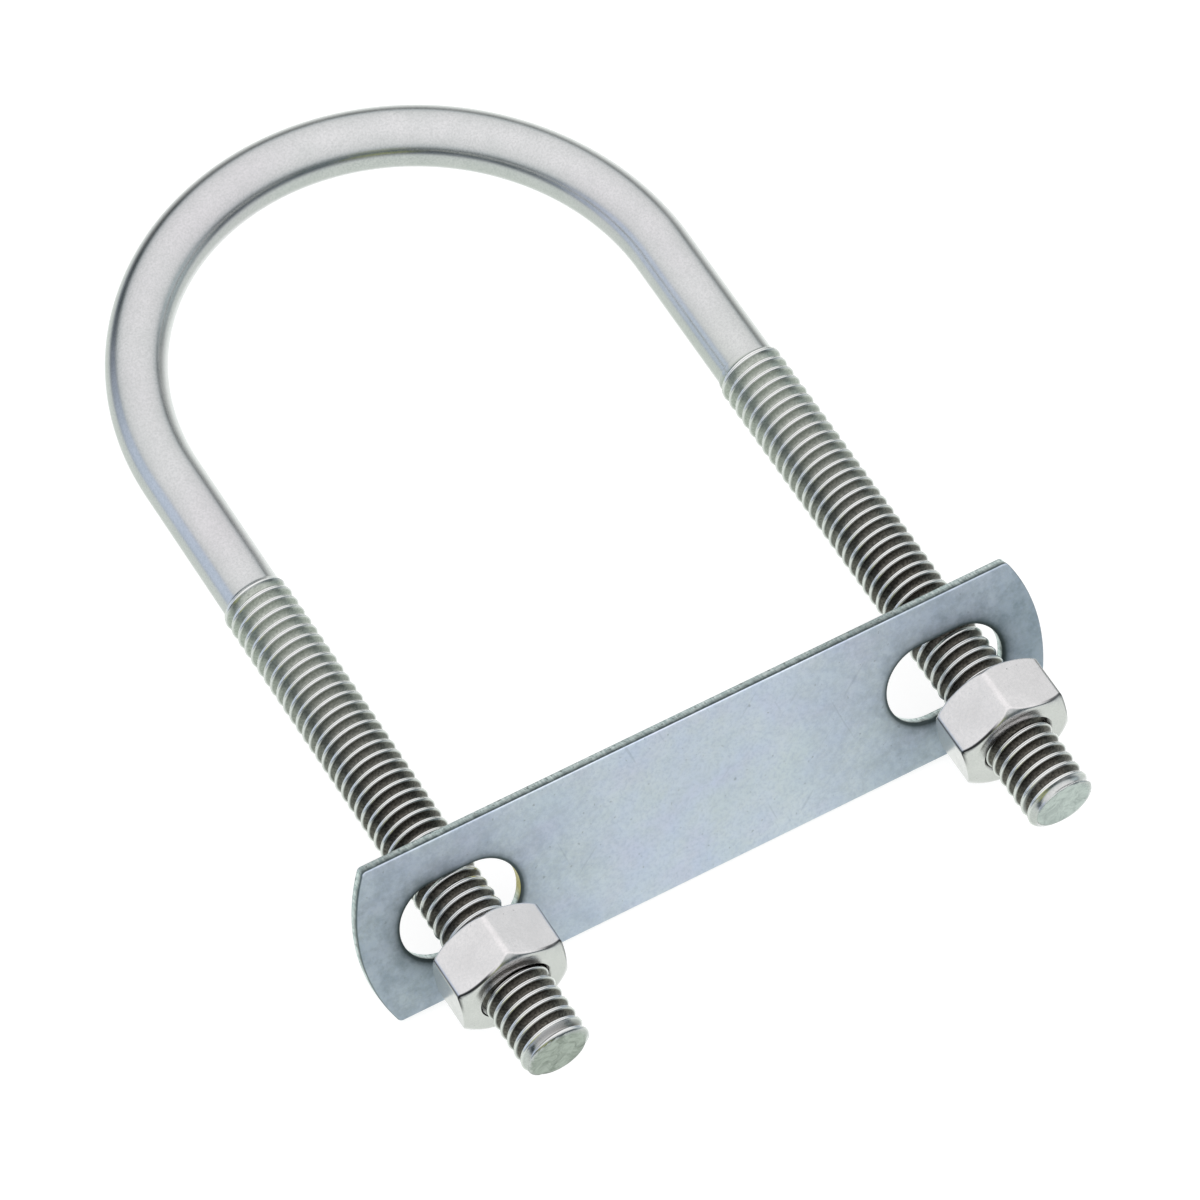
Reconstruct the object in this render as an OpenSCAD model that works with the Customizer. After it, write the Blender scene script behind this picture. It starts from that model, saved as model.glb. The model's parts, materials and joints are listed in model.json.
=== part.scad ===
// U-bolt with a slotted backing plate and two hex nuts.
// The U lies flat: its two legs run along Y in the plane Z = 0, with the bend at +Y and the rod ends at -Y.
// The origin is the centre of the bend, which is the centre of a pipe held in it.

/* [U-bolt] */
// Distance between the centrelines of the two legs
leg_spacing = 62.65; // [50:0.05:80]
// Diameter of the plain rod
rod_d = 7.02; // [6.5:0.01:7.2]
// Distance from the bend centre to the rod ends
leg_length = 83.8; // [80:0.1:110]
// Plain length of each leg between the bend and the thread
plain_length = 18; // [8:0.1:22]
// Length of the bevel on each rod end
rod_end_bevel = 0.65; // [0.3:0.05:0.8]

/* [Thread] */
// Outside diameter of the thread (5/16 inch)
thread_d = 7.94; // [7.7:0.01:8]
// Distance from one thread crest to the next (18 to the inch)
pitch = 1.411; // [1.2:0.001:1.5]

/* [Backing plate] */
// Length of the plate's straight long edges
plate_length = 80; // [76:0.1:100]
// Width of the plate
plate_width = 20; // [18:0.1:26]
// Thickness of the plate
plate_thickness = 1.5; // [1:0.1:1.8]
// How far each arched end stands out past the corners
plate_end_bulge = 2.5; // [1:0.1:5]
// Width of the slots that the legs pass through
slot_width = 9.7; // [9.7:0.05:11]
// Length of the slots from end to end
slot_length = 14.6; // [14:0.1:18]
// Distance between the centres of the slots
slot_spacing = 60.6; // [60:0.1:62]
// How far the loose plate leans, with its upper edge towards the bend
plate_tilt = 25; // [0:0.5:25]
// Distance from the bend centre to the middle of the plate
plate_station = 62.9; // [40:0.1:62.9]
// Sideways play taken up by the loose plate
plate_shift = -1.2; // [-1.2:0.1:0]

/* [Nuts] */
// Width of a nut across its flats (1/2 inch)
nut_across_flats = 12.7; // [12:0.05:13]
// Thickness of a nut (17/64 inch)
nut_thickness = 6.75; // [6:0.05:7]
// Diameter of the flat face left inside a nut's bevelled corners
nut_face_d = 12; // [11:0.1:12]
// Distance from the bend centre to the nuts' faces nearest the plate
nut_station = 68.1; // [68.1:0.1:72]
// Radial running clearance between a nut's bore and the thread crests
nut_clearance = 0.05; // [0.02:0.01:0.1]
// Turn of the left nut about its leg
left_nut_angle = 37; // [0:1:59]
// Turn of the right nut about its leg
right_nut_angle = 41; // [0:1:59]

/* [Hidden] */
$fn = 96;
// How far a cutting shape runs past what it cuts
margin = 1;

bend_r = leg_spacing / 2;
rod_r = rod_d / 2;
thread_r = thread_d / 2;

// The thread's ridges have a flat crest an eighth of a pitch wide and flanks at 30 degrees.
thread_depth_share = 0.6134;
crest_w = pitch / 8;
ridge_h = thread_depth_share * pitch;
root_r = thread_r - ridge_h;
ridge_foot = crest_w / 2 + ridge_h * tan(30);
ridge_count = ceil((leg_length - plain_length) / pitch) + 1;

// The arched plate ends are arcs through the two corners and the tip of the bulge.
end_arc_r = ((plate_width / 2) ^ 2 + plate_end_bulge ^ 2) / (2 * plate_end_bulge);
end_arc_x = plate_length / 2 + plate_end_bulge - end_arc_r;

// The nuts' 30 degree bevel cones are drawn past the corners.
nut_corner_r = nut_across_flats / 2 / cos(30);
bevel_r = nut_corner_r + margin;
bevel_h = (bevel_r - nut_face_d / 2) * tan(30);
nut_bore_r = thread_r + nut_clearance;
// Depth of the 45 degree mouth at each end of a nut's bore
nut_mouth = 0.35;

// One thread ridge with its crest at the distance y from the bend.
function ridge(y) = [
    [root_r, y - ridge_foot], [thread_r, y - crest_w / 2],
    [thread_r, y + crest_w / 2], [root_r, y + ridge_foot]];

// Half of a leg's outline: x is the distance from its axis and y the distance from the bend.
module leg_outline() {
    intersection() {
        polygon(concat(
            [[0, 0], [rod_r, 0], [rod_r, plain_length], [root_r, plain_length + rod_r - root_r]],
            [for (i = [1 : ridge_count]) each ridge(plain_length + i * pitch)],
            [[0, plain_length + ridge_count * pitch + ridge_foot]]));
        polygon([
            [-margin, -margin], [thread_r + margin, -margin],
            [thread_r + margin, leg_length - rod_end_bevel - margin],
            [thread_r - rod_end_bevel, leg_length], [-margin, leg_length]]);
    }
}

module leg() {
    rotate([90, 0, 0]) rotate_extrude() leg_outline();
}

module u_bolt() {
    color([0.82, 0.82, 0.83]) {
        rotate_extrude(angle = 180) translate([bend_r, 0]) circle(r = rod_r);
        for (side = [-1, 1]) translate([side * bend_r, 0, 0]) leg();
    }
}

module slot() {
    end_x = (slot_length - slot_width) / 2;
    square([2 * end_x, slot_width], center = true);
    for (side = [-1, 1]) translate([side * end_x, 0]) circle(d = slot_width);
}

module plate_outline() {
    difference() {
        intersection() {
            square([plate_length + 2 * plate_end_bulge, plate_width], center = true);
            union() {
                square([2 * end_arc_x + margin, plate_width], center = true);
                for (side = [0, 1]) mirror([side, 0]) translate([end_arc_x, 0]) circle(r = end_arc_r);
            }
        }
        for (side = [-1, 1]) translate([side * slot_spacing / 2, 0]) slot();
    }
}

module backing_plate() {
    color([0.70, 0.73, 0.77])
    translate([plate_shift, -plate_station, 0])
    rotate([90 - plate_tilt, 0, 0])
    linear_extrude(height = plate_thickness, center = true) plate_outline();
}

// A hex nut bevelled on both faces, with its axis along Y and its nearer face at the nut station.
module hex_nut(side, angle) {
    translate([side * bend_r, -nut_station, 0])
    rotate([90, 0, 0])
    difference() {
        intersection() {
            rotate(angle) cylinder(r = nut_corner_r, h = nut_thickness, $fn = 6);
            rotate_extrude() polygon([
                [0, 0], [nut_face_d / 2, 0], [bevel_r, bevel_h],
                [bevel_r, nut_thickness - bevel_h], [nut_face_d / 2, nut_thickness],
                [0, nut_thickness]]);
        }
        translate([0, 0, -margin]) cylinder(r = nut_bore_r, h = nut_thickness + 2 * margin);
        for (face = [0, 1]) translate([0, 0, face * nut_thickness]) mirror([0, 0, face])
            translate([0, 0, -margin])
            cylinder(r1 = nut_bore_r + nut_mouth + margin, r2 = nut_bore_r, h = nut_mouth + margin);
    }
}

module left_hex_nut() { color([0.88, 0.87, 0.86]) hex_nut(-1, left_nut_angle); }
module right_hex_nut() { color([0.88, 0.87, 0.86]) hex_nut(1, right_nut_angle); }

u_bolt();
backing_plate();
left_hex_nut();
right_hex_nut();
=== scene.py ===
"""The looks of a U-bolt with a slotted backing plate and two hex nuts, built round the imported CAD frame.

Everything is in metres and in the CAD frame: the U lies flat in the plane Z = 0, its legs run along Y
with the bend at +Y and the rod ends at -Y, and the origin is the centre of the bend.
"""
import json
import math

import bmesh
import bpy
import numpy as np
from mathutils import Matrix, Vector


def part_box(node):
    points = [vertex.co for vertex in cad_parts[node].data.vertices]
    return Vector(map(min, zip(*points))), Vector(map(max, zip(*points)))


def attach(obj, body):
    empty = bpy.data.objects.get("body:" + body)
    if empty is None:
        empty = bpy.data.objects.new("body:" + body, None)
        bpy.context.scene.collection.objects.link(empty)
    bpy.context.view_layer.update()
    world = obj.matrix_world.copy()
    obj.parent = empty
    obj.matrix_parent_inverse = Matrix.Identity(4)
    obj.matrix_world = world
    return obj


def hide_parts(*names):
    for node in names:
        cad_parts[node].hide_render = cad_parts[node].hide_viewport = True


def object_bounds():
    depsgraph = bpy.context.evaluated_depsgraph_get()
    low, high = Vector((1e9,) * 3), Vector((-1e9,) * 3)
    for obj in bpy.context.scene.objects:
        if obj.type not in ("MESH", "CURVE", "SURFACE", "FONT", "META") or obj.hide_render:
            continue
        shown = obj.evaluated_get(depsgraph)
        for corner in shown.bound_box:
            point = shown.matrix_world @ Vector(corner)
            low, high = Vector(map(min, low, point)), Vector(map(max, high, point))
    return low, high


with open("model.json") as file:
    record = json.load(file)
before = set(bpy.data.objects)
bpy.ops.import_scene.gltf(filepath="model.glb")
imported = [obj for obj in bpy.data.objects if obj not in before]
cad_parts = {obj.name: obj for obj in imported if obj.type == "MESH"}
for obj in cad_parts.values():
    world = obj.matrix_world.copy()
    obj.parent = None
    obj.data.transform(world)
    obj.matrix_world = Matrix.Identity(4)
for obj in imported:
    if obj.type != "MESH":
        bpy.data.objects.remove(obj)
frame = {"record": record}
CAD_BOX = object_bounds()

MM = 0.001
TURN = 2 * math.pi
MERGE_DISTANCE = 0.0005 * MM

# ---------------------------------------------------------------- sizes from the frame
U_LOW, U_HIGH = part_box("u_bolt")
THREAD_R = U_HIGH.z
LEG_X = U_HIGH.x - THREAD_R
ROD_R = U_HIGH.y - LEG_X
LEG_LENGTH = -U_LOW.y
PITCH = TURN / frame["record"]["behaviour"]["couplings"][0]["ratio"]

# ---------------------------------------------------------------- sizes of the details
THREAD_DEPTH_SHARE = 0.6134
PLAIN_LENGTH = 18 * MM
ROOT_R = THREAD_R - THREAD_DEPTH_SHARE * PITCH
RUN_IN = 0.55 * PITCH
ROOT_RUN_IN = 2.2 * PITCH
TIP_R = 3.2 * MM
TIP_ROUND = 0.6 * MM
TIP_RUN_OUT = 1.5 * PITCH
TIP_DISH = 0.03 * MM
# Length at each rod end over which the painted shade in the valleys fades out
UNSHADED_TIP = 2.4 * PITCH
ROD_SIDES = 64
BEND_STEPS = 128
# Distance from the bend at which the painted reflection that lightens the thread's valleys has faded out
LIGHTENED_TO = 52 * MM
# Where the thread starts along its helix, by side: the left leg's and the right leg's
THREAD_PHASES = {-1: 0.0, 1: PITCH / 3}

PLATE_TILT = math.radians(25)
PLATE_THICKNESS = 1.5 * MM
PLATE_HALF_WIDTH = 10 * MM
PLATE_HALF_STRAIGHT = 40 * MM
PLATE_CORNER_R = 0.7 * MM
SLOT_HALF_WIDTH = 4.85 * MM
SLOT_HALF_STRAIGHT = 2.45 * MM
SLOT_HALF_SPACING = 30.3 * MM
PLATE_SHARP_ANGLE = math.radians(38)
# Middle of the stretch of one slot's wall that is tinted yellow, in the plate's own frame
GOLDEN_PATCH = (-23.6 * MM, 1.8 * MM, 0)

NUT_HALF_FLATS = 6.35 * MM
NUT_FACE_R = 5.7 * MM
NUT_CORNER_ROUND = 0.75 * MM
NUT_EDGE_ROUND = 0.12 * MM
NUT_DOME = 0.35 / MM
NUT_MOUTH_R = 4.3 * MM
NUT_THREAD_GAP = 0.07 * MM
NUT_MINOR_R = 3.3 * MM
NUT_SHARP_ANGLE = math.radians(40)
# How far inside its mouth's radius a bore takes its full painted shade
BORE_SHADE_REACH = 0.4 * MM
NUT_ANGLES = {"left_hex_nut": math.radians(37), "right_hex_nut": math.radians(41)}

# One turn of the rolled thread, as (share of the pitch from the crest towards the rod end, share of
# the depth): a broad crest with the fine lap line that rolling leaves near its bend side.
THREAD_PROFILE = (
    (-0.5, 0.0), (-0.40, 0.02), (-0.25, 0.66), (-0.20, 0.85), (-0.14, 0.92), (-0.085, 0.86),
    (-0.05, 0.88), (-0.015, 0.99), (0.035, 1.0), (0.08, 0.94), (0.13, 0.70), (0.37, 0.02))

# Edge sections of the sheared plate, in mm: (distance in from the edge, depth below the front face).
ROLL_OVER = ((0.22, 0.0), (0.14, 0.009), (0.07, 0.032), (0.018, 0.08), (0.0, 0.13))
SLOT_ROLL_OVER = ((1.3, 0.0), (0.8, 0.012), (0.45, 0.04), (0.2, 0.09), (0.06, 0.16), (0.0, 0.25))
SHEARED_WALL = ((0.0, 0.45), (0.03, 0.52), (0.06, 1.40), (0.12, 1.5))
BACK_RING = ((0.35, 1.5),)
# The same for a nut's outer edges, in units of NUT_EDGE_ROUND and from the rim of the domed bevel.
NUT_EDGE_SECTION = ((0.35, 0.55), (0.08, 1.1), (0, 1.8), (0, 2.8))


# ---------------------------------------------------------------- mesh helpers
def smooth_step(values):
    """0 below 0, 1 above 1 and a smooth rise between."""
    t = np.clip(values, 0, 1)
    return t * t * (3 - 2 * t)


def ring_faces(rows, sides):
    """Quads between consecutive closed rings of the same number of points."""
    row, side = np.meshgrid(np.arange(rows - 1), np.arange(sides), indexing="ij")
    low = row * sides
    after = (side + 1) % sides
    return np.stack([low + side, low + after, low + sides + after, low + sides + side], -1).reshape(-1, 4)


def helix_sheet(angles, start, end, phase, radius_at):
    """A threaded sheet about an axis, its grid lines following the right-hand helix.

    Returns its points as (angle, distance along the axis, radius), and its quads. Points past start
    or end are drawn back to it, so an end that all the rows pass is one closed ring once doubles are
    merged. Known fault: beside the first angle the rows can stop up to 0.63 of a pitch short of end,
    which leaves a gap 0.8 mm deep at the left nut's mouth, 0.3 mm at the right nut's, and 0.03 mm at
    the left rod end. One more turn of rows should close it, which hasn't been tried.
    """
    shares = np.array([share for share, _ in THREAD_PROFILE])
    heights = np.array([height for _, height in THREAD_PROFILE])
    steps, sides = len(shares), len(angles)
    first = math.floor((start - phase) / PITCH) - 2
    last = math.ceil((end - phase) / PITCH) + 1
    along = (np.arange(first, last)[:, None] + shares[None, :]).reshape(-1)
    height = np.tile(heights, last - first)
    distance = phase + PITCH * (angles[:, None] / TURN + along[None, :])
    distance = np.clip(distance, start, end)
    radius = radius_at(np.broadcast_to(height, distance.shape), distance)
    angle = np.broadcast_to(angles[:, None], distance.shape)
    points = np.stack([angle, distance, radius], -1).reshape(-1, 3)
    rows = len(along)
    side, row = np.meshgrid(np.arange(sides), np.arange(rows - steps - 1), indexing="ij")
    here = side * rows + row
    there = ((side + 1) % sides) * rows + row + np.where(side == sides - 1, steps, 0)
    return points, np.stack([here, there, there + 1, here + 1], -1).reshape(-1, 4)


def on_leg(points, leg_x):
    """Points given as (angle, distance from the bend, radius) about a leg, in the CAD frame."""
    angle, distance, radius = points.T
    return np.stack([leg_x + radius * np.cos(angle), -distance, radius * np.sin(angle)], -1)


def clean_mesh(name, parts):
    """One mesh of several (points, faces, material index) parts, with their seams merged."""
    shape = bmesh.new()
    for points, faces, slot in parts:
        made = [shape.verts.new(p) for p in points]
        for face in faces:
            corners = [made[i] for i in face]
            shape.faces.new(corners).material_index = slot
    bmesh.ops.remove_doubles(shape, verts=shape.verts[:], dist=MERGE_DISTANCE)
    bmesh.ops.dissolve_degenerate(shape, edges=shape.edges[:], dist=MERGE_DISTANCE)
    bmesh.ops.delete(shape, geom=[v for v in shape.verts if not v.link_faces], context="VERTS")
    bmesh.ops.recalc_face_normals(shape, faces=shape.faces[:])
    mesh = bpy.data.meshes.new(name)
    shape.to_mesh(mesh)
    shape.free()
    mesh.shade_smooth()
    return mesh


def mesh_points(mesh):
    """The mesh's points as an array."""
    points = np.zeros(len(mesh.vertices) * 3)
    mesh.vertices.foreach_get("co", points)
    return points.reshape(-1, 3)


def store_vectors(mesh, name, values):
    """Keeps a vector for each point of the mesh, for its material to read."""
    layer = mesh.attributes.new(name, "FLOAT_VECTOR", "POINT")
    layer.data.foreach_set("vector", values.astype(np.float32).ravel())


def store_numbers(mesh, name, values):
    """Keeps a number for each point of the mesh, for its material to read."""
    layer = mesh.attributes.new(name, "FLOAT", "POINT")
    layer.data.foreach_set("value", values.astype(np.float32).ravel())


def add_piece(name, mesh, materials):
    """An object of the scene with its materials in order."""
    piece = bpy.data.objects.new(name, mesh)
    bpy.context.scene.collection.objects.link(piece)
    for material in materials:
        mesh.materials.append(material)
    return piece


# ---------------------------------------------------------------- the U-bolt
def stud_radius(height, distance):
    """Radius of the stud at a share of the thread's depth and a distance from the bend."""
    into_thread = distance - PLAIN_LENGTH
    crest = ROD_R + (THREAD_R - ROD_R) * smooth_step(into_thread / RUN_IN)
    root = ROD_R + (ROOT_R - ROD_R) * smooth_step(into_thread / ROOT_RUN_IN)
    to_end = LEG_LENGTH - distance
    root = root + (TIP_R - root) * smooth_step(1 - to_end / TIP_RUN_OUT)
    nose = np.clip(to_end / TIP_ROUND, 0, 1)
    limit = TIP_R + (THREAD_R - TIP_R) * np.sqrt(1 - (1 - nose) ** 2)
    return np.minimum(root + (crest - root) * height, limit)


def rod_end(angles):
    """The cropped end face of a leg: rings that dish unevenly towards the middle."""
    shares = np.array([1, 0.94, 0.86, 0.7, 0.5, 0.3, 0.12])
    angle, share = np.meshgrid(angles, shares)
    uneven = 0.5 + 0.5 * np.sin(2 * angle + 5 * share) * np.cos(angle - 1)
    dish = TIP_DISH * smooth_step((1 - share) * 4) * (0.4 + 1.2 * uneven * share)
    points = np.stack([angle, LEG_LENGTH - dish, TIP_R * share], -1).reshape(-1, 3)
    faces = ring_faces(len(shares), len(angles)).tolist()
    inner = (len(shares) - 1) * len(angles)
    return points, faces + [list(range(inner, inner + len(angles)))]


def bend_points(angles):
    """Rings of the bent rod and of the plain starts of both legs, from the right leg to the left."""
    legs = np.linspace(PLAIN_LENGTH, 0, 8)[:-1]
    turns = np.linspace(0, math.pi, BEND_STEPS + 1)
    reach = LEG_X + ROD_R * np.cos(angles)
    height = ROD_R * np.sin(angles)
    rings = [np.stack([reach, np.full_like(angles, -distance), height], -1) for distance in legs]
    rings += [np.stack([reach * math.cos(turn), reach * math.sin(turn), height], -1) for turn in turns]
    rings += [np.stack([-reach, np.full_like(angles, -distance), height], -1) for distance in legs[::-1]]
    return np.concatenate(rings), ring_faces(len(rings), len(angles))


def rod_space(points):
    """Each point's place in the rod as if it were straight: across, up, and the length along it."""
    x, y, z = points.T
    bent = y > 0
    across = np.where(bent, np.hypot(x, y), np.abs(x)) - LEG_X
    turn = np.where(bent, np.arctan2(y, x), np.where(x > 0, 0, math.pi))
    along = LEG_X * turn + np.where(bent, 0, np.where(x > 0, y, -y))
    return np.stack([across, z, along], -1)


def valley_depth(points):
    """How deep in the thread each point lies, from 0 on the crests and the plain rod to 1 in the roots."""
    across, up, _ = rod_space(points).T
    distance = -points[:, 1]
    in_thread = smooth_step((distance - PLAIN_LENGTH) / PITCH)
    depth = (THREAD_R - np.hypot(across, up)) / (THREAD_R - ROOT_R)
    before_end = smooth_step((LEG_LENGTH - distance) / UNSHADED_TIP)
    return np.clip(depth, 0, 1) * in_thread * before_end


def crest_height(points):
    """1 on the thread's crests and 0 on its flanks and on the plain rod."""
    across, up, _ = rod_space(points).T
    height = (np.hypot(across, up) - ROD_R) / (THREAD_R - ROD_R)
    return smooth_step((height - 0.6) / 0.3)


def end_face(points):
    """1 on the cropped faces at the rod ends and 0 elsewhere."""
    return smooth_step((-points[:, 1] - LEG_LENGTH + 2 * TIP_DISH) / TIP_DISH)


def make_u_bolt(material):
    """The bent rod with both threaded legs, as one mesh."""
    angles = np.arange(ROD_SIDES) * TURN / ROD_SIDES
    parts = [(*bend_points(angles), 0)]
    for side, phase in THREAD_PHASES.items():
        leg_x = side * LEG_X
        sheet, quads = helix_sheet(angles, PLAIN_LENGTH, LEG_LENGTH, phase, stud_radius)
        parts.append((on_leg(sheet, leg_x), quads, 0))
        cap, faces = rod_end(angles)
        parts.append((on_leg(cap, leg_x), faces, 0))
    mesh = clean_mesh("bent_rod", parts)
    points = mesh_points(mesh)
    store_vectors(mesh, "rod_space", rod_space(points))
    store_numbers(mesh, "valley", valley_depth(points))
    store_numbers(mesh, "crest", crest_height(points))
    store_numbers(mesh, "end_face", end_face(points))
    # Painted reflection: how far the valleys' painted shade is lightened, fading out away from the bend.
    store_numbers(mesh, "valley_lightening", smooth_step((LIGHTENED_TO + points[:, 1]) / (LIGHTENED_TO - PLAIN_LENGTH)))
    return add_piece("bent_rod", mesh, [material])


# ---------------------------------------------------------------- the backing plate
def plate_outline():
    """The plate's outline as (points, outward directions): arched ends, rounded corners, straight sides.

    Half of it is drawn, from one end's arch to the far corner, and turned half round for the rest.
    """
    low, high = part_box("backing_plate")
    reach = (high.x - low.x) / 2
    bulge = reach - PLATE_HALF_STRAIGHT
    arc_r = (PLATE_HALF_WIDTH ** 2 + bulge ** 2) / (2 * bulge)
    arc_x = reach - arc_r
    corner_y = PLATE_HALF_WIDTH - PLATE_CORNER_R
    corner_x = arc_x + math.sqrt((arc_r - PLATE_CORNER_R) ** 2 - corner_y ** 2)
    spread = math.atan2(corner_y, corner_x - arc_x)
    side = np.linspace(corner_x, -corner_x, 25)[1:-1]
    stretches = (
        (arc_x, 0, arc_r, np.linspace(-spread, spread, 41)[:-1]),
        (corner_x, corner_y, PLATE_CORNER_R, np.linspace(spread, math.pi / 2, 8)),
        (side, corner_y, PLATE_CORNER_R, np.full(len(side), math.pi / 2)),
        (-corner_x, corner_y, PLATE_CORNER_R, np.linspace(math.pi / 2, math.pi - spread, 8)[:-1]))
    points, ways = [], []
    for x, y, radius, turns in stretches:
        way = np.stack([np.cos(turns), np.sin(turns)], -1)
        ways.append(way)
        points.append(radius * way + np.stack([x + 0 * turns, y + 0 * turns], -1))
    points = np.concatenate(points)
    ways = np.concatenate(ways)
    return np.concatenate([points, -points]), np.concatenate([ways, -ways])


def slot_outline(side):
    """A slot's outline as (points, directions into the plate), round ended."""
    points, ways = [], []
    for end in (1, -1):
        turns = np.linspace(-math.pi / 2, math.pi / 2, 37)
        way = end * np.stack([np.cos(turns), np.sin(turns)], -1)
        centre = np.array([side * SLOT_HALF_SPACING + end * SLOT_HALF_STRAIGHT, 0])
        points.append(centre + SLOT_HALF_WIDTH * way)
        ways.append(way)
    return np.concatenate(points), np.concatenate(ways)


def edge_rings(outline, section, way_sign):
    """Rings round an outline that follow an edge section, in the plate's own (x, y, z)."""
    points, ways = outline
    rings = []
    for inset, depth in section:
        flat = points + way_sign * inset * MM * ways
        height = np.full(len(points), PLATE_THICKNESS / 2 - depth * MM)
        rings.append(np.column_stack([flat, height]))
    return np.concatenate(rings)


def face_part(loops):
    """The points and triangles of a flat face between closed loops."""
    shape = bmesh.new()
    edges = []
    for loop in loops:
        made = [shape.verts.new(p) for p in loop]
        edges += [shape.edges.new(pair) for pair in zip(made, made[1:] + made[:1])]
    bmesh.ops.triangle_fill(shape, edges=edges, use_beauty=True)
    shape.verts.index_update()
    points = [tuple(v.co) for v in shape.verts]
    faces = [[v.index for v in f.verts] for f in shape.faces]
    shape.free()
    return points, faces


def make_plate(face_material, edge_material):
    """The sheared and punched strip: rolled-over front edges, sheared walls and a flat back."""
    outlines = [(plate_outline(), ROLL_OVER, -1)]
    outlines += [(slot_outline(side), SLOT_ROLL_OVER, 1) for side in (-1, 1)]
    parts, fronts, backs = [], [], []
    for outline, roll_over, way_sign in outlines:
        section = roll_over + SHEARED_WALL + BACK_RING
        count = len(outline[0])
        rings = edge_rings(outline, section, way_sign)
        quads = ring_faces(len(section), count)
        row = np.arange(len(quads)) // count
        wall = (row >= len(roll_over) - 1) & (row < len(roll_over) + len(SHEARED_WALL) - 1)
        parts.append((rings, quads[~wall], 0))
        parts.append((rings, quads[wall], 1))
        fronts.append(rings[:count])
        backs.append(rings[-count:])
    parts += [(*face_part(fronts), 0), (*face_part(backs), 0)]
    mesh = clean_mesh("slotted_plate", parts)
    store_vectors(mesh, "sheet_space", mesh_points(mesh))
    mesh.set_sharp_from_angle(angle=PLATE_SHARP_ANGLE)
    low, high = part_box("backing_plate")
    place = Matrix.Translation((low + high) / 2) @ Matrix.Rotation(math.pi / 2 - PLATE_TILT, 4, "X")
    mesh.transform(place)
    return add_piece("slotted_plate", mesh, [face_material, edge_material])


# ---------------------------------------------------------------- the nuts
def corner_centre():
    """Distance from a nut's axis to the centre of a corner's rounding."""
    return (NUT_HALF_FLATS - NUT_CORNER_ROUND) / math.cos(math.pi / 6)


def corner_turn():
    """Half the angle that a corner's rounding takes up, seen from the nut's axis."""
    return math.atan2(NUT_CORNER_ROUND / 2, corner_centre() + NUT_CORNER_ROUND * math.cos(math.pi / 6))


def from_corner(angles):
    """Angle to the nearest corner of the hexagon."""
    return np.abs((angles + math.pi / 6) % (math.pi / 3) - math.pi / 6)


def nut_angles():
    """Angles round a hexagon from one corner: close together on the rounded corners."""
    corner = np.linspace(-corner_turn(), corner_turn(), 7)
    flat = np.linspace(corner_turn(), math.pi / 3 - corner_turn(), 20)[1:-1]
    sector = np.concatenate([corner, flat])
    return np.concatenate([sector + i * math.pi / 3 for i in range(6)])


def hexagon_radius(angles):
    """Radius of the rounded hexagon at angles counted from a corner."""
    off = from_corner(angles)
    flat = NUT_HALF_FLATS / np.cos(math.pi / 6 - off)
    inside = np.maximum(NUT_CORNER_ROUND ** 2 - (corner_centre() * np.sin(off)) ** 2, 0)
    rounded = corner_centre() * np.cos(off) + np.sqrt(inside)
    return np.where(off < corner_turn(), rounded, flat)


def nut_shell(angles, thickness):
    """The nut's outside from one bore mouth to the other, as (angle, depth, radius) and quads.

    Each end is a flat face and a domed bevel, a paraboloid that falls away faster towards the corners.
    """
    outer = hexagon_radius(angles)
    rim = outer - NUT_EDGE_ROUND
    flats = (NUT_MOUTH_R, NUT_MOUTH_R + NUT_EDGE_ROUND, NUT_FACE_R)
    radii = [np.full_like(outer, radius) for radius in flats]
    radii += [NUT_FACE_R + (rim - NUT_FACE_R) * share for share in (0.2, 0.4, 0.6, 0.8, 1.0)]
    half = [(radius, NUT_DOME * np.maximum(radius - NUT_FACE_R, 0) ** 2) for radius in radii]
    bevel = half[-1][1]
    for inset, drop in NUT_EDGE_SECTION:
        half.append((outer - inset * NUT_EDGE_ROUND, bevel + drop * NUT_EDGE_ROUND))
    rings = half + [(radius, thickness - depth) for radius, depth in half[::-1]]
    points = [np.stack([angles, depth, radius], -1) for radius, depth in rings]
    return np.concatenate(points), ring_faces(len(rings), len(angles))


def painted_edge_shade(points, angle, thickness):
    """How much painted shade the nut's edges take: its two side corners, and its rim at the end away from the
    plate.
    """
    x, y, z = points.T
    around = np.arctan2(z, x) - angle
    radius = np.hypot(x, z)
    outer = hexagon_radius(around)
    bevel = NUT_DOME * (outer - NUT_EDGE_ROUND - NUT_FACE_R) ** 2
    past_rim = np.abs(thickness + y - bevel - NUT_EDGE_ROUND)
    on_rim = smooth_step(1.6 - past_rim / NUT_EDGE_ROUND)
    at_corner = smooth_step(1.5 - from_corner(around) * radius / NUT_EDGE_ROUND)
    outside = smooth_step(2 - (outer - radius) / NUT_EDGE_ROUND)
    on_side = smooth_step((0.95 - z / radius) / 0.15) * smooth_step((z / radius) / 0.3)
    return np.maximum(on_rim, at_corner) * outside * on_side


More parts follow.
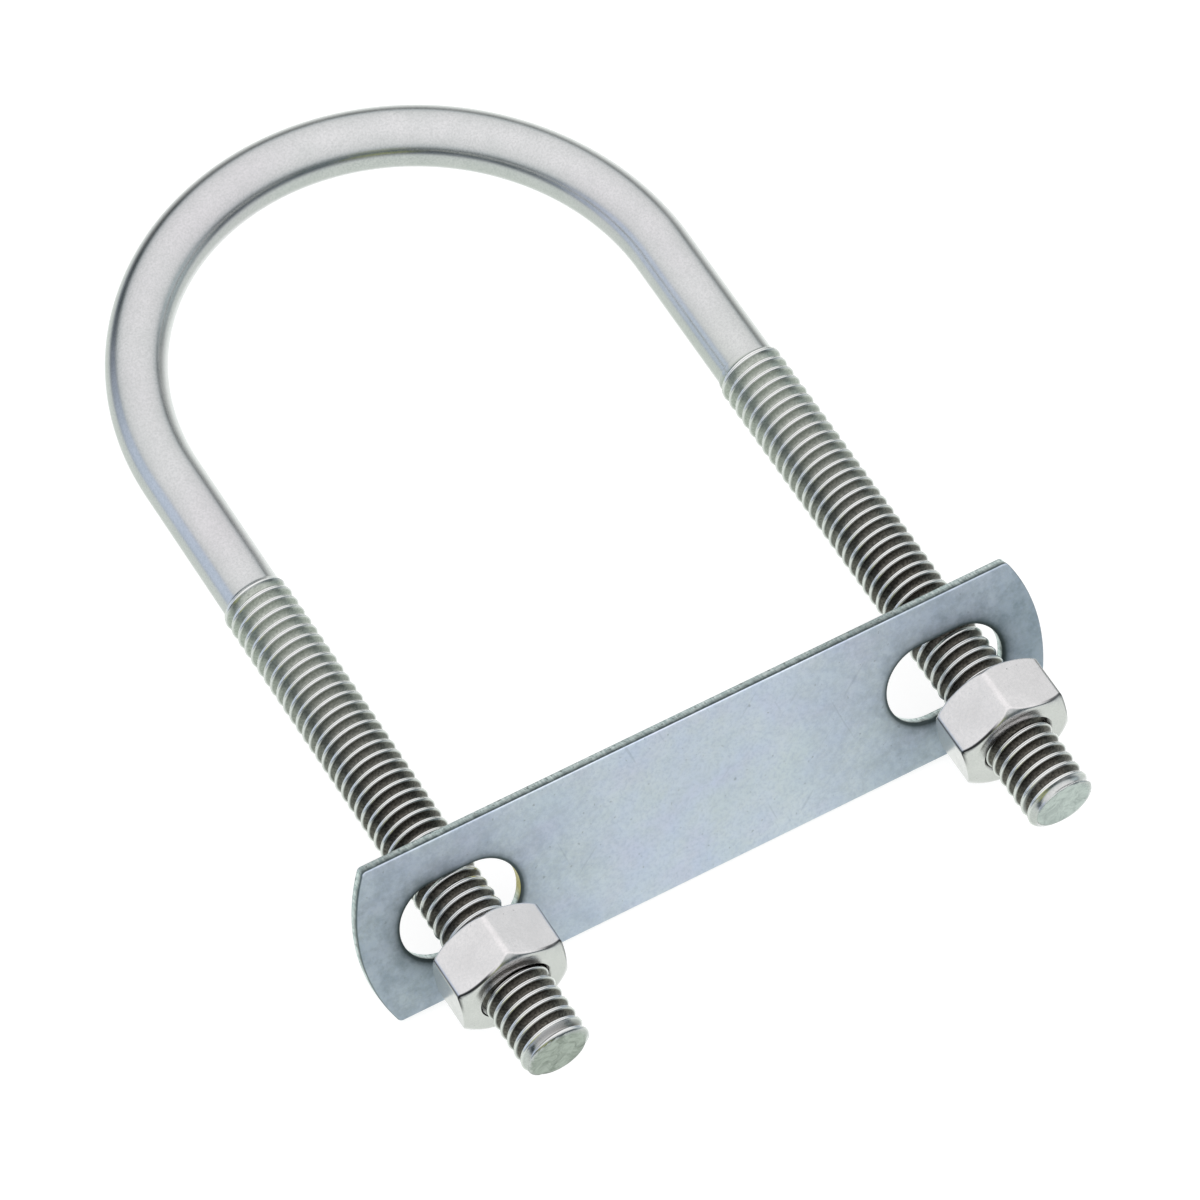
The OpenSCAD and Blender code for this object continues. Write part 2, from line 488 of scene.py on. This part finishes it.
def make_nut(node_name, material):
    """One hex nut with its real internal thread, in mesh with its leg's thread."""
    low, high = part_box(node_name)
    thickness = high.y - low.y
    station = -high.y
    side = math.copysign(1, low.x + high.x)
    leg_x = side * LEG_X
    angle = NUT_ANGLES[node_name]
    phase = THREAD_PHASES[side] + PITCH * angle / TURN
    angles = nut_angles()

    def bore_radius(height, distance):
        thread = np.maximum(ROOT_R + (THREAD_R - ROOT_R) * height + NUT_THREAD_GAP, NUT_MINOR_R)
        depth = np.minimum(distance - station, station + thickness - distance)
        return np.maximum(thread, NUT_MOUTH_R - depth)

    bore, bore_quads = helix_sheet(angles, station, station + thickness, phase, bore_radius)
    shell, shell_quads = nut_shell(angles, thickness)
    bore[:, 0] += angle
    shell[:, 0] += angle
    shell[:, 1] += station
    parts = [(on_leg(shell, leg_x), shell_quads, 0), (on_leg(bore, leg_x), bore_quads, 0)]
    mesh = clean_mesh(node_name.replace("hex_nut", "nut"), parts)
    points = mesh_points(mesh) - np.array([leg_x, -station, 0])
    store_vectors(mesh, "nut_space", points)
    reach = np.hypot(points[:, 0], points[:, 2])
    # Painted shade inside the bore, fading out across its mouths.
    store_numbers(mesh, "bore", smooth_step((NUT_MOUTH_R - reach) / BORE_SHADE_REACH))
    # Painted shade: a dark line along the nut's side corners and its rim away from the plate.
    store_numbers(mesh, "painted_edge_shade", painted_edge_shade(points, angle, thickness))
    mesh.set_sharp_from_angle(angle=NUT_SHARP_ANGLE)
    piece = add_piece(mesh.name, mesh, [material])
    piece.modifiers.new("flat_faces", "WEIGHTED_NORMAL").keep_sharp = True
    return piece


# ---------------------------------------------------------------- material helpers
def new_material(name):
    """A material with its node tree and its Principled shader."""
    material = bpy.data.materials.new(name)
    material.use_nodes = True
    tree = material.node_tree
    return material, tree, tree.nodes["Principled BSDF"]


def add_node(tree, kind, inputs=None, **settings):
    """A node with its settings made and its inputs linked or set."""
    made = tree.nodes.new(kind)
    for name, value in settings.items():
        setattr(made, name, value)
    for name, value in (inputs or {}).items():
        if isinstance(value, bpy.types.NodeSocket):
            tree.links.new(value, made.inputs[name])
        else:
            made.inputs[name].default_value = value
    return made


def stored(tree, name):
    """A stored attribute of the mesh."""
    return add_node(tree, "ShaderNodeAttribute", attribute_name=name)


def scaled(tree, vector, factors):
    """A vector with its parts scaled, which stretches a pattern along an axis."""
    return add_node(tree, "ShaderNodeVectorMath", {0: vector, 1: factors}, operation="MULTIPLY").outputs[0]


def turned(tree, vector, angle):
    """A vector turned about its third axis."""
    return add_node(tree, "ShaderNodeVectorRotate", {"Vector": vector, "Angle": angle},
                    rotation_type="Z_AXIS").outputs[0]


def noise(tree, vector, scale, detail=3.0, roughness=0.5, distortion=0.0):
    """Fractal noise from 0 to 1; scale is in features to the metre."""
    return add_node(tree, "ShaderNodeTexNoise", {
        "Vector": vector, "Scale": scale, "Detail": detail, "Roughness": roughness,
        "Distortion": distortion}).outputs[0]


def span(tree, value, low, high, to_low=0.0, to_high=1.0):
    """A value between low and high carried to another range, and held at its ends."""
    return add_node(tree, "ShaderNodeMapRange", {
        "Value": value, "From Min": low, "From Max": high, "To Min": to_low, "To Max": to_high}).outputs[0]


def split(tree, vector):
    """The three parts of a vector."""
    return add_node(tree, "ShaderNodeSeparateXYZ", {0: vector}).outputs


def combine(tree, operation, first, second=0.0):
    """Two numbers combined, or one worked on."""
    return add_node(tree, "ShaderNodeMath", {0: first, 1: second}, operation=operation).outputs[0]


def mix_colours(tree, factor, first, second):
    """A colour between two, by a factor."""
    inputs = {0: factor, 6: first, 7: second}
    return add_node(tree, "ShaderNodeMix", inputs, data_type="RGBA").outputs[2]


def bump(tree, height, distance, under=None):
    """A normal raised by a height, over another normal if one is given."""
    inputs = {"Strength": 1.0, "Distance": distance, "Height": height}
    if under is not None:
        inputs["Normal"] = under
    return add_node(tree, "ShaderNodeBump", inputs).outputs[0]


def scratches(tree, vector, angle, scale, amount):
    """Fine straight scratches across a flat face, mostly along one direction."""
    lines = scaled(tree, turned(tree, vector, angle), (0.09, 1.0, 1.0))
    return span(tree, noise(tree, lines, scale, detail=1.0), 0.75 - amount, 0.80)


def product(tree, *factors):
    """Numbers multiplied together."""
    total = factors[0]
    for factor in factors[1:]:
        total = combine(tree, "MULTIPLY", total, factor)
    return total


def tinted(tree, under, pattern, low, high, amount, colour):
    """A colour mixed into another by up to an amount, as a pattern goes from low to high."""
    return mix_colours(tree, span(tree, pattern, low, high, 0, amount), under, colour)


def set_surface(tree, shader, metallic, colour, roughness, normal):
    """The shader's metallic share, and what drives its colour, roughness and normal."""
    shader.inputs["Metallic"].default_value = metallic
    tree.links.new(colour, shader.inputs["Base Color"])
    tree.links.new(roughness, shader.inputs["Roughness"])
    tree.links.new(normal, shader.inputs["Normal"])


# ---------------------------------------------------------------- materials
def rod_steel():
    """Drawn stainless rod, satin with faint lengthwise lines, with painted shade and a little dark grime in
    the rolled thread's valleys, and painted highlights on its crests.
    """
    material, tree, shader = new_material("rod_steel")
    place = stored(tree, "rod_space").outputs["Vector"]
    valley = stored(tree, "valley").outputs["Fac"]
    valley_lightening = stored(tree, "valley_lightening").outputs["Fac"]
    crest = stored(tree, "crest").outputs["Fac"]
    end = stored(tree, "end_face").outputs["Fac"]
    cloud = noise(tree, place, 260, detail=5, roughness=0.6)
    lines = noise(tree, scaled(tree, place, (1, 1, 0.06)), 3200, detail=3)
    grain = noise(tree, place, 4200, detail=3)
    film = noise(tree, scaled(tree, place, (1, 1, 0.4)), 60, detail=2)
    stain = noise(tree, place, 520, detail=6, roughness=0.72, distortion=1.5)
    steel = mix_colours(tree, span(tree, cloud, 0.3, 0.7), (0.59, 0.60, 0.60, 1), (0.66, 0.66, 0.665, 1))
    steel = tinted(tree, steel, film, 0.54, 0.70, 0.4, (0.56, 0.59, 0.54, 1))
    steel = tinted(tree, steel, film, 0.46, 0.30, 0.5, (0.63, 0.59, 0.63, 1))
    steel = tinted(tree, steel, grain, 0.38, 0.68, 0.45, (0.46, 0.47, 0.47, 1))
    # Painted shade for the thread's valleys, with a little dark grime in them.
    painted_shade = mix_colours(tree, span(tree, grain, 0.35, 0.65), (0.055, 0.052, 0.046, 1), (0.16, 0.15, 0.13, 1))
    # Painted reflection: near the bend the valleys' painted shade gives way to this lighter tone.
    tone_shift = mix_colours(tree, span(tree, grain, 0.3, 0.7), (0.36, 0.39, 0.35, 1), (0.56, 0.59, 0.54, 1))
    painted_shade = mix_colours(tree, valley_lightening, painted_shade, tone_shift)
    # Painted highlight: the thread's crests are made lighter.
    steel = mix_colours(tree, product(tree, crest, 0.85), steel, (0.86, 0.86, 0.85, 1))
    # The valleys take the painted shade by their depth.
    steel = mix_colours(tree, span(tree, valley, 0.09, 0.31), steel, painted_shade)
    on_left_leg = span(tree, split(tree, place)["Z"], 0, LEG_X)
    bright = mix_colours(tree, on_left_leg, (0.60, 0.65, 0.64, 1), (0.46, 0.50, 0.46, 1))
    dull = mix_colours(tree, on_left_leg, (0.38, 0.42, 0.42, 1), (0.24, 0.27, 0.24, 1))
    face = mix_colours(tree, span(tree, stain, 0.36, 0.58), dull, bright)
    steel = mix_colours(tree, end, steel, face)
    rough = span(tree, cloud, 0.3, 0.7, 0.17, 0.23)
    rough = combine(tree, "ADD", rough, span(tree, valley, 0.1, 0.6, 0, 0.2))
    rough = combine(tree, "ADD", rough, product(tree, end, 0.12))
    fine = bump(tree, grain, 0.002 * MM, under=bump(tree, lines, 0.0015 * MM))
    cropped = bump(tree, product(tree, stain, end), 0.05 * MM, under=fine)
    set_surface(tree, shader, 1.0, steel, rough, cropped)
    return material


def slot_distance(tree, from_middle, up):
    """Distance of a point of the plate's face from the nearer slot's edge, in metres.

    The point is given by its distances from the plate's middle along its length and across it.
    """
    along = combine(tree, "ABSOLUTE", combine(tree, "SUBTRACT", from_middle, SLOT_HALF_SPACING))
    past = combine(tree, "MAXIMUM", combine(tree, "SUBTRACT", along, SLOT_HALF_STRAIGHT), 0)
    squares = combine(tree, "ADD", product(tree, past, past), product(tree, up, up))
    return combine(tree, "SUBTRACT", combine(tree, "SQRT", squares), SLOT_HALF_WIDTH)


def plate_steel():
    """Cold-rolled strip: blue-grey, cloudy, finely marked, darker towards its ends, with painted shade round
    its slots and along its rolled-over edges but the top one.
    """
    material, tree, shader = new_material("plate_steel")
    place = stored(tree, "sheet_space").outputs["Vector"]
    right, up, depth = split(tree, place)
    from_middle = combine(tree, "ABSOLUTE", right)
    cloud = noise(tree, place, 150, detail=6, roughness=0.65)
    tint = noise(tree, scaled(tree, place, (0.6, 1, 1)), 220)
    mottle = noise(tree, place, 620, detail=6, roughness=0.7)
    speckle = noise(tree, place, 2300, detail=4, roughness=0.7)
    rolled = noise(tree, scaled(tree, place, (0.1, 1, 1)), 900)
    pits = noise(tree, place, 1500, detail=2)
    cuts = combine(tree, "MAXIMUM", scratches(tree, place, 1.3, 1700, 0.01),
                   scratches(tree, place, 2.4, 1500, 0.03))
    steel = mix_colours(tree, span(tree, cloud, 0.32, 0.68), (0.74, 0.82, 0.98, 1), (0.87, 0.94, 1.0, 1))
    steel = tinted(tree, steel, tint, 0.52, 0.70, 0.5, (0.78, 0.88, 0.94, 1))
    steel = tinted(tree, steel, tint, 0.48, 0.32, 0.5, (0.81, 0.83, 1.0, 1))
    # Darker towards both ends, more at one end than the other and less near the top edge.
    tone_shift = product(
        tree, span(tree, from_middle, 10 * MM, 41 * MM), span(tree, cloud, 0.25, 0.7, 1.1, 0.7),
        span(tree, up, 4 * MM, 9 * MM, 1, 0.6), span(tree, right, -30 * MM, 30 * MM, 0.74, 1.06))
    steel = mix_colours(tree, tone_shift, steel, (0.43, 0.51, 0.58, 1))
    uneven = product(tree, span(tree, mottle, 0.42, 0.64), span(tree, tone_shift, 0, 0.6, 0.08, 0.42))
    steel = mix_colours(tree, uneven, steel, (0.20, 0.27, 0.32, 1))
    steel = tinted(tree, steel, speckle, 0.45, 0.75, 0.45, (0.48, 0.57, 0.72, 1))
    # Painted shade round the slots, strongest at their edges and on their sides away from the plate's middle.
    near_slot = span(tree, slot_distance(tree, from_middle, up), 3.0 * MM, -0.2 * MM)
    slot_shade = product(
        tree, combine(tree, "POWER", near_slot, 1.9), span(tree, mottle, 0.35, 0.6, 0.7, 1),
        span(tree, from_middle, 22 * MM, 31 * MM, 0.4, 1))
    steel = mix_colours(tree, slot_shade, steel, (0.10, 0.13, 0.14, 1))
    # Painted shade: a dark line along the rolled-over front edge, left off along the top edge.
    rim = product(tree, span(tree, depth, 0.74 * MM, 0.67 * MM, 0, 0.85), span(tree, up, 9.85 * MM, 9.6 * MM))
    steel = mix_colours(tree, rim, steel, (0.07, 0.10, 0.10, 1))
    steel = tinted(tree, steel, pits, 0.30, 0.25, 0.4, (0.25, 0.30, 0.34, 1))
    steel = mix_colours(tree, product(tree, cuts, 0.22), steel, (0.36, 0.43, 0.52, 1))
    rough = span(tree, cloud, 0.3, 0.7, 0.58, 0.50)
    fine = bump(tree, speckle, 0.005 * MM, under=bump(tree, rolled, 0.004 * MM))
    set_surface(tree, shader, 0.8, steel, rough, bump(tree, cuts, -0.003 * MM, under=fine))
    return material


def sheared_steel():
    """The plate's cut edges: a dark burnished line by the front, then paler torn metal, finely drawn."""
    material, tree, shader = new_material("sheared_steel")
    place = stored(tree, "sheet_space").outputs["Vector"]
    depth = split(tree, place)["Z"]
    drag = noise(tree, scaled(tree, place, (1, 1, 0.18)), 4200)
    layers = noise(tree, scaled(tree, place, (0.06, 0.06, 1)), 3600, detail=2)
    ragged = noise(tree, scaled(tree, place, (1, 1, 0)), 1100, detail=4)
    specks = noise(tree, place, 2600, detail=2)
    line_edge = combine(tree, "ADD", depth, span(tree, ragged, 0.3, 0.7, -0.2 * MM, 0.2 * MM))
    dark = product(
        tree, span(tree, line_edge, -0.25 * MM, 0.45 * MM, 0, 0.95), span(tree, depth, 0.68 * MM, 0.63 * MM))
    steel = mix_colours(tree, span(tree, drag, 0.36, 0.64), (0.54, 0.66, 0.66, 1), (0.90, 0.98, 0.97, 1))
    steel = tinted(tree, steel, layers, 0.48, 0.7, 0.6, (0.46, 0.54, 0.53, 1))
    steel = mix_colours(tree, dark, steel, (0.07, 0.095, 0.10, 1))
    steel = tinted(tree, steel, depth, -0.52 * MM, -0.66 * MM, 0.5, (0.30, 0.36, 0.36, 1))
    steel = tinted(tree, steel, specks, 0.60, 0.67, 0.7, (0.12, 0.15, 0.15, 1))
    away = add_node(tree, "ShaderNodeVectorMath", {0: place, 1: GOLDEN_PATCH}, operation="DISTANCE")
    steel = tinted(tree, steel, away.outputs["Value"], 4.5 * MM, 3 * MM, 1, (0.50, 0.44, 0.14, 1))
    rough = span(tree, drag, 0.3, 0.7, 0.44, 0.32)
    set_surface(tree, shader, 0.9, steel, rough, bump(tree, drag, 0.008 * MM))
    return material


def nut_steel():
    """Bright satin nut: pale, faintly warm, with a fine grain, a few small pits, and painted shade in its
    bore and along its edges.
    """
    material, tree, shader = new_material("nut_steel")
    place = stored(tree, "nut_space").outputs["Vector"]
    bore = stored(tree, "bore").outputs["Fac"]
    painted_shade = stored(tree, "painted_edge_shade").outputs["Fac"]
    cloud = noise(tree, place, 260, detail=4)
    grain = noise(tree, place, 3400, detail=3, roughness=0.6)
    pits = noise(tree, place, 2300, detail=1)
    steel = mix_colours(tree, span(tree, cloud, 0.3, 0.7), (0.68, 0.665, 0.67, 1), (0.78, 0.76, 0.765, 1))
    steel = tinted(tree, steel, grain, 0.4, 0.7, 0.4, (0.60, 0.60, 0.60, 1))
    steel = tinted(tree, steel, pits, 0.21, 0.17, 0.6, (0.15, 0.15, 0.16, 1))
    # Painted shade along the nut's edges.
    shade_amount = product(tree, painted_shade, span(tree, cloud, 0.3, 0.55, 0.6, 1))
    steel = mix_colours(tree, shade_amount, steel, (0.02, 0.022, 0.025, 1))
    # Painted shade inside the bore.
    steel = mix_colours(tree, bore, steel, (0.08, 0.07, 0.065, 1))
    rough = span(tree, grain, 0.3, 0.7, 0.20, 0.28)
    fine = bump(tree, grain, 0.003 * MM)
    set_surface(tree, shader, 1.0, steel, rough, bump(tree, cloud, 0.010 * MM, under=fine))
    return material


def floor_white():
    """A lit white table top."""
    material, tree, shader = new_material("floor_white")
    place = add_node(tree, "ShaderNodeTexCoord").outputs["Object"]
    tone = mix_colours(tree, noise(tree, place, 9), (0.34, 0.34, 0.34, 1), (0.36, 0.36, 0.36, 1))
    tree.links.new(tone, shader.inputs["Base Color"])
    shader.inputs["Roughness"].default_value = 0.9
    shader.inputs["Specular IOR Level"].default_value = 0.0
    shader.inputs["Emission Color"].default_value = (1, 1, 1, 1)
    shader.inputs["Emission Strength"].default_value = 0.80
    return material


# ---------------------------------------------------------------- camera, light and floor
CAMERA_AZIMUTH = math.radians(-33.43)
CAMERA_ELEVATION = math.radians(56.6)
CAMERA_ROLL = math.radians(3.4)
CAMERA_TARGET = Vector((1.45, -36.75, 0)) * MM
CAMERA_DISTANCE = 922.9 * MM
CAMERA_LENS = 254.6

FLOOR_DROP = 0.05 * MM
FLOOR_HALF = 3.0


def make_camera():
    """The camera at the photograph's angle, turned a little about its own axis."""
    level_right = Vector((math.cos(CAMERA_AZIMUTH), math.sin(CAMERA_AZIMUTH), 0))
    level_back = Vector((level_right.y, -level_right.x, 0))
    back = math.cos(CAMERA_ELEVATION) * level_back + Vector((0, 0, math.sin(CAMERA_ELEVATION)))
    right = Matrix.Rotation(CAMERA_ROLL, 3, back) @ level_right
    up = back.cross(right)
    data = bpy.data.cameras.new("camera")
    data.lens = CAMERA_LENS
    data.sensor_width = 36
    data.clip_start = 0.01
    data.clip_end = 20
    camera = bpy.data.objects.new("camera", data)
    facing = Matrix((right, up, back)).transposed().to_4x4()
    camera.matrix_world = Matrix.Translation(CAMERA_TARGET + back * CAMERA_DISTANCE) @ facing
    bpy.context.scene.collection.objects.link(camera)
    bpy.context.scene.camera = camera


def make_floor():
    """A level white floor just under the object."""
    low = CAD_BOX[0].z - FLOOR_DROP
    mesh = bpy.data.meshes.new("floor")
    corners = [(x * FLOOR_HALF, y * FLOOR_HALF, low) for x, y in ((-1, -1), (1, -1), (1, 1), (-1, 1))]
    mesh.from_pydata(corners, [], [(0, 1, 2, 3)])
    floor = add_piece("floor", mesh, [floor_white()])
    floor.visible_glossy = False
    floor.visible_shadow = False


# The studio's brightness by the height of a direction, from straight down to straight up. The dark
# strip near the horizon is the room beyond the white table and tent.
STUDIO_BY_HEIGHT = (
    (-1.0, (0.84, 0.90, 0.84)), (-0.52, (0.86, 0.92, 0.87)), (-0.40, (0.80, 0.85, 0.83)),
    (-0.24, (0.17, 0.20, 0.23)), (-0.05, (0.03, 0.045, 0.052)), (0.06, (0.08, 0.11, 0.115)),
    (0.24, (0.74, 0.78, 0.79)), (0.44, (1.0, 1.01, 1.01)), (1.0, (1.20, 1.19, 1.20)))
# Lit panels round the studio: each one's heading and height in degrees, the angles from its middle at
# which it ends and at which it is full, and its colour. A panel only ever brightens what is behind it.
STUDIO_PANELS = (
    (155, 0, 48, 8, (0.76, 0.86, 1.02)), (-15, 0, 30, 3, (0.60, 0.70, 0.72)),
    (-104, 0, 20, 6, (0.50, 0.54, 0.18)), (45, -50, 62, 25, (1.12, 1.16, 1.13)))


def make_light():
    """A white tent over a darker strip of studio, which draws the dark lines along the rod."""
    world = bpy.data.worlds.new("studio")
    bpy.context.scene.world = world
    world.use_nodes = True
    tree = world.node_tree
    tree.nodes.clear()
    direction = add_node(tree, "ShaderNodeTexCoord").outputs["Generated"]
    ramp = add_node(tree, "ShaderNodeValToRGB", {0: span(tree, split(tree, direction)["Z"], -1, 1)})
    stops = ramp.color_ramp.elements
    stops[0].color = (*STUDIO_BY_HEIGHT[0][1], 1)
    stops[1].color = (*STUDIO_BY_HEIGHT[-1][1], 1)
    for place, colour in STUDIO_BY_HEIGHT[1:-1]:
        stops.new((place + 1) / 2).color = (*colour, 1)
    light = ramp.outputs[0]
    for heading, rise, end, full, colour in STUDIO_PANELS:
        heading, rise, end, full = (math.radians(angle) for angle in (heading, rise, end, full))
        way = (math.cos(rise) * math.cos(heading), math.cos(rise) * math.sin(heading), math.sin(rise))
        facing = add_node(tree, "ShaderNodeVectorMath", {0: direction, 1: way}, operation="DOT_PRODUCT")
        amount = span(tree, facing.outputs["Value"], math.cos(end), math.cos(full))
        panel = mix_colours(tree, amount, (0, 0, 0, 1), (*colour, 1))
        light = add_node(tree, "ShaderNodeMix", {0: 1.0, 6: light, 7: panel},
                         data_type="RGBA", blend_type="LIGHTEN").outputs[2]
    seen_directly = add_node(tree, "ShaderNodeLightPath").outputs["Is Camera Ray"]
    colour = mix_colours(tree, seen_directly, light, (1, 1, 1, 1))
    background = add_node(tree, "ShaderNodeBackground", {"Color": colour, "Strength": 1.0})
    world_output = add_node(tree, "ShaderNodeOutputWorld")
    tree.links.new(background.outputs[0], world_output.inputs["Surface"])
    bpy.context.scene.view_settings.view_transform = "Standard"


# ---------------------------------------------------------------- assembly
def build():
    """Makes every piece, ties it to its CAD body, and hides the CAD part it replaces."""
    nut_material = nut_steel()
    pieces = [
        (make_u_bolt(rod_steel()), "u_bolt", "rod_steel"),
        (make_plate(plate_steel(), sheared_steel()), "backing_plate", "plate_steel")]
    for node_name in NUT_ANGLES:
        pieces.append((make_nut(node_name, nut_material), node_name, "nut_steel"))
    for piece, body, slot in pieces:
        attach(piece, body)
        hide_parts(body)


make_camera()
make_light()
make_floor()
build()
